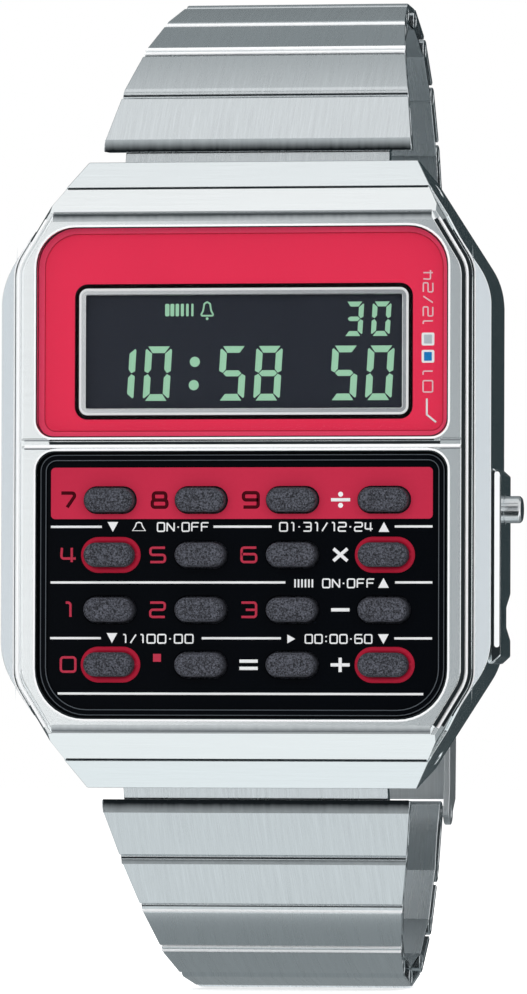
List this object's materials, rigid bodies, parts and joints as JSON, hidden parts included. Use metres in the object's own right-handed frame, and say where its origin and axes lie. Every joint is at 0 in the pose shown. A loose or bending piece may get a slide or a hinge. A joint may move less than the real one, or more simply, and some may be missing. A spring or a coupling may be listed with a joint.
{
  "type": "calculator watch",
  "caption": "Digital calculator wristwatch: octagonal metal case, display over a numeric keypad, side pushers, folded link bracelet and sliding fold-over clasp.",
  "frame": {"origin": "centre of the case back's outer face", "axes": "-Y out of the dial, +Z towards 12 o'clock, +X towards 3 o'clock and the pushers"},
  "size_m": [0.036, 0.0427, 0.0696],
  "materials": {
    "case_metal": "satin plated case",
    "bezel_metal": "satin plated bezel with bright facets",
    "crystal": "clear polished crystal",
    "mask_red": "red print behind the crystal",
    "frame_silver": "bright frame",
    "display_dark": "dark negative display",
    "keypad_black": "black gloss keypad plate",
    "key_rubber": "speckled grey rubber",
    "mat_rubber": "grey silicone",
    "board_green": "circuit board",
    "module_plastic": "moulded frame",
    "battery_steel": "plain can",
    "alarm_brass": "piezo disc",
    "back_steel": "brushed back plate",
    "gasket_rubber": "black rubber",
    "pusher_steel": "brushed pusher",
    "link_steel": "brushed folded sheet",
    "clasp_steel": "brushed clasp"
  },
  "bodies": {
    "case": {"case_body": "case_metal", "bezel": "bezel_metal", "crystal": "crystal", "display_mask": "mask_red", "display_frame": "frame_silver", "lcd_panel": "display_dark", "keypad_plate": "keypad_black", "keypad_mat": "mat_rubber", "circuit_board": "board_green", "module_frame": "module_plastic", "battery": "battery_steel", "battery_strap": "battery_steel", "display_connector": "gasket_rubber", "alarm_disc": "alarm_brass", "case_back": "back_steel", "back_gasket": "gasket_rubber", "back_screws": "battery_steel", "spring_bars": "battery_steel", "pusher_springs": "battery_steel"},
    "mode_pusher": {"mode_pusher": "pusher_steel"},
    "adjust_pusher": {"adjust_pusher": "pusher_steel"},
    "key_0": {"key_0": "key_rubber"},
    "key_1": {"key_1": "key_rubber"},
    "key_2": {"key_2": "key_rubber"},
    "key_3": {"key_3": "key_rubber"},
    "key_4": {"key_4": "key_rubber"},
    "key_5": {"key_5": "key_rubber"},
    "key_6": {"key_6": "key_rubber"},
    "key_7": {"key_7": "key_rubber"},
    "key_8": {"key_8": "key_rubber"},
    "key_9": {"key_9": "key_rubber"},
    "key_divide": {"key_divide": "key_rubber"},
    "key_multiply": {"key_multiply": "key_rubber"},
    "key_minus": {"key_minus": "key_rubber"},
    "key_plus": {"key_plus": "key_rubber"},
    "key_equals": {"key_equals": "key_rubber"},
    "key_decimal": {"key_decimal": "key_rubber"},
    "upper_link_1": {"upper_link_1": "link_steel"},
    "upper_link_2": {"upper_link_2": "link_steel"},
    "upper_link_3": {"upper_link_3": "link_steel"},
    "upper_link_4": {"upper_link_4": "link_steel"},
    "upper_link_5": {"upper_link_5": "link_steel"},
    "upper_link_6": {"upper_link_6": "link_steel"},
    "upper_link_7": {"upper_link_7": "link_steel"},
    "upper_link_8": {"upper_link_8": "link_steel"},
    "upper_link_9": {"upper_link_9": "link_steel"},
    "lower_link_1": {"lower_link_1": "link_steel"},
    "lower_link_2": {"lower_link_2": "link_steel"},
    "lower_link_3": {"lower_link_3": "link_steel"},
    "lower_link_4": {"lower_link_4": "link_steel"},
    "lower_link_5": {"lower_link_5": "link_steel"},
    "lower_link_6": {"lower_link_6": "link_steel"},
    "lower_link_7": {"lower_link_7": "link_steel"},
    "lower_link_8": {"lower_link_8": "link_steel"},
    "lower_link_9": {"lower_link_9": "link_steel"},
    "ladder_plate": {"ladder_plate": "clasp_steel"},
    "clasp_base": {"clasp_base": "clasp_steel"},
    "lock_lever": {"lock_lever": "clasp_steel"},
    "clasp_blade": {"clasp_blade": "clasp_steel"},
    "clasp_cover": {"clasp_cover": "clasp_steel"}
  },
  "joints": [
    {"name": "press_0", "type": "slide", "parent": "case", "child": "key_0", "axis": [0, 1, 0], "range_m": [0, 0.0004], "stiffness_N_per_m": 100},
    {"name": "press_1", "type": "slide", "parent": "case", "child": "key_1", "axis": [0, 1, 0], "range_m": [0, 0.0004], "stiffness_N_per_m": 100},
    {"name": "press_2", "type": "slide", "parent": "case", "child": "key_2", "axis": [0, 1, 0], "range_m": [0, 0.0004], "stiffness_N_per_m": 100},
    {"name": "press_3", "type": "slide", "parent": "case", "child": "key_3", "axis": [0, 1, 0], "range_m": [0, 0.0004], "stiffness_N_per_m": 100},
    {"name": "press_4", "type": "slide", "parent": "case", "child": "key_4", "axis": [0, 1, 0], "range_m": [0, 0.0004], "stiffness_N_per_m": 100},
    {"name": "press_5", "type": "slide", "parent": "case", "child": "key_5", "axis": [0, 1, 0], "range_m": [0, 0.0004], "stiffness_N_per_m": 100},
    {"name": "press_6", "type": "slide", "parent": "case", "child": "key_6", "axis": [0, 1, 0], "range_m": [0, 0.0004], "stiffness_N_per_m": 100},
    {"name": "press_7", "type": "slide", "parent": "case", "child": "key_7", "axis": [0, 1, 0], "range_m": [0, 0.0004], "stiffness_N_per_m": 100},
    {"name": "press_8", "type": "slide", "parent": "case", "child": "key_8", "axis": [0, 1, 0], "range_m": [0, 0.0004], "stiffness_N_per_m": 100},
    {"name": "press_9", "type": "slide", "parent": "case", "child": "key_9", "axis": [0, 1, 0], "range_m": [0, 0.0004], "stiffness_N_per_m": 100},
    {"name": "press_divide", "type": "slide", "parent": "case", "child": "key_divide", "axis": [0, 1, 0], "range_m": [0, 0.0004], "stiffness_N_per_m": 100},
    {"name": "press_multiply", "type": "slide", "parent": "case", "child": "key_multiply", "axis": [0, 1, 0], "range_m": [0, 0.0004], "stiffness_N_per_m": 100},
    {"name": "press_minus", "type": "slide", "parent": "case", "child": "key_minus", "axis": [0, 1, 0], "range_m": [0, 0.0004], "stiffness_N_per_m": 100},
    {"name": "press_plus", "type": "slide", "parent": "case", "child": "key_plus", "axis": [0, 1, 0], "range_m": [0, 0.0004], "stiffness_N_per_m": 100},
    {"name": "press_equals", "type": "slide", "parent": "case", "child": "key_equals", "axis": [0, 1, 0], "range_m": [0, 0.0004], "stiffness_N_per_m": 100},
    {"name": "press_decimal", "type": "slide", "parent": "case", "child": "key_decimal", "axis": [0, 1, 0], "range_m": [0, 0.0004], "stiffness_N_per_m": 100},
    {"name": "mode_press", "type": "slide", "parent": "case", "child": "mode_pusher", "axis": [-1, 0, 0], "range_m": [0, 0.0008], "stiffness_N_per_m": 200, "deforming": ["pusher_springs"]},
    {"name": "adjust_press", "type": "slide", "parent": "case", "child": "adjust_pusher", "axis": [-1, 0, 0], "range_m": [0, 0.0005], "stiffness_N_per_m": 200, "deforming": ["pusher_springs"]},
    {"name": "upper_fold_1", "type": "hinge", "parent": "case", "child": "upper_link_1", "pos_m": [0, -0.0026, 0.0195], "axis": [1, 0, 0], "range_deg": [0, 28]},
    {"name": "upper_fold_2", "type": "hinge", "parent": "upper_link_1", "child": "upper_link_2", "pos_m": [0, 0.00177, 0.02643], "axis": [1, 0, 0], "range_deg": [0, 14]},
    {"name": "upper_fold_3", "type": "hinge", "parent": "upper_link_2", "child": "upper_link_3", "pos_m": [0, 0.00546, 0.02942], "axis": [1, 0, 0], "range_deg": [0, 16]},
    {"name": "upper_fold_4", "type": "hinge", "parent": "upper_link_3", "child": "upper_link_4", "pos_m": [0, 0.00969, 0.03157], "axis": [1, 0, 0], "range_deg": [0, 13.5]},
    {"name": "upper_fold_5", "type": "hinge", "parent": "upper_link_4", "child": "upper_link_5", "pos_m": [0, 0.01422, 0.033], "axis": [1, 0, 0], "range_deg": [0, 22.5]},
    {"name": "upper_fold_6", "type": "hinge", "parent": "upper_link_5", "child": "upper_link_6", "pos_m": [0, 0.01897, 0.03292], "axis": [1, 0, 0], "range_deg": [0, 25.5]},
    {"name": "upper_fold_7", "type": "hinge", "parent": "upper_link_6", "child": "upper_link_7", "pos_m": [0, 0.02336, 0.0311], "axis": [1, 0, 0], "range_deg": [0, 23.5]},
    {"name": "upper_fold_8", "type": "hinge", "parent": "upper_link_7", "child": "upper_link_8", "pos_m": [0, 0.02689, 0.02792], "axis": [1, 0, 0], "range_deg": [0, 19]},
    {"name": "upper_fold_9", "type": "hinge", "parent": "upper_link_8", "child": "upper_link_9", "pos_m": [0, 0.02948, 0.02394], "axis": [1, 0, 0], "range_deg": [0, 15]},
    {"name": "lower_fold_1", "type": "hinge", "parent": "case", "child": "lower_link_1", "pos_m": [0, -0.0026, -0.0195], "axis": [-1, 0, 0], "range_deg": [0, 28]},
    {"name": "lower_fold_2", "type": "hinge", "parent": "lower_link_1", "child": "lower_link_2", "pos_m": [0, 0.00183, -0.02637], "axis": [-1, 0, 0], "range_deg": [0, 7]},
    {"name": "lower_fold_3", "type": "hinge", "parent": "lower_link_2", "child": "lower_link_3", "pos_m": [0, 0.00519, -0.02973], "axis": [-1, 0, 0], "range_deg": [0, 13]},
    {"name": "lower_fold_4", "type": "hinge", "parent": "lower_link_3", "child": "lower_link_4", "pos_m": [0, 0.00903, -0.03252], "axis": [-1, 0, 0], "range_deg": [0, 19]},
    {"name": "lower_fold_5", "type": "hinge", "parent": "lower_link_4", "child": "lower_link_5", "pos_m": [0, 0.01346, -0.03423], "axis": [-1, 0, 0], "range_deg": [0, 15.5]},
    {"name": "lower_fold_6", "type": "hinge", "parent": "lower_link_5", "child": "lower_link_6", "pos_m": [0, 0.01815, -0.03501], "axis": [-1, 0, 0], "range_deg": [0, 25.5]},
    {"name": "lower_fold_7", "type": "hinge", "parent": "lower_link_6", "child": "lower_link_7", "pos_m": [0, 0.0228, -0.03402], "axis": [-1, 0, 0], "range_deg": [0, 25.5]},
    {"name": "lower_fold_8", "type": "hinge", "parent": "lower_link_7", "child": "lower_link_8", "pos_m": [0, 0.02676, -0.0314], "axis": [-1, 0, 0], "range_deg": [0, 22.5]},
    {"name": "lower_fold_9", "type": "hinge", "parent": "lower_link_8", "child": "lower_link_9", "pos_m": [0, 0.02968, -0.02766], "axis": [-1, 0, 0], "range_deg": [0, 17.5]},
    {"name": "clasp_turn", "type": "hinge", "parent": "upper_link_9", "child": "ladder_plate", "pos_m": [0, 0.03125, 0.01954], "axis": [1, 0, 0], "range_deg": [0, 25.5]},
    {"name": "clasp_slide", "type": "slide", "parent": "ladder_plate", "child": "clasp_base", "axis": [0, 0.0092, -1], "range_m": [0, 0.006]},
    {"name": "lever_fold", "type": "hinge", "parent": "clasp_base", "child": "lock_lever", "pos_m": [0, 0.0306, 0.00653], "axis": [-1, 0, 0], "range_deg": [0, 60]},
    {"name": "blade_fold", "type": "hinge", "parent": "clasp_base", "child": "clasp_blade", "pos_m": [0, 0.03217, -0.01496], "axis": [-1, 0, 0], "range_deg": [0, 128]},
    {"name": "cover_fold", "type": "hinge", "parent": "clasp_blade", "child": "clasp_cover", "pos_m": [0, 0.03236, 0.01315], "axis": [1, 0, 0], "range_deg": [0, 160]}
  ],
  "couplings": [
    {"joint": "blade_fold", "follows": "cover_fold", "ratio": 0.8}
  ]
}
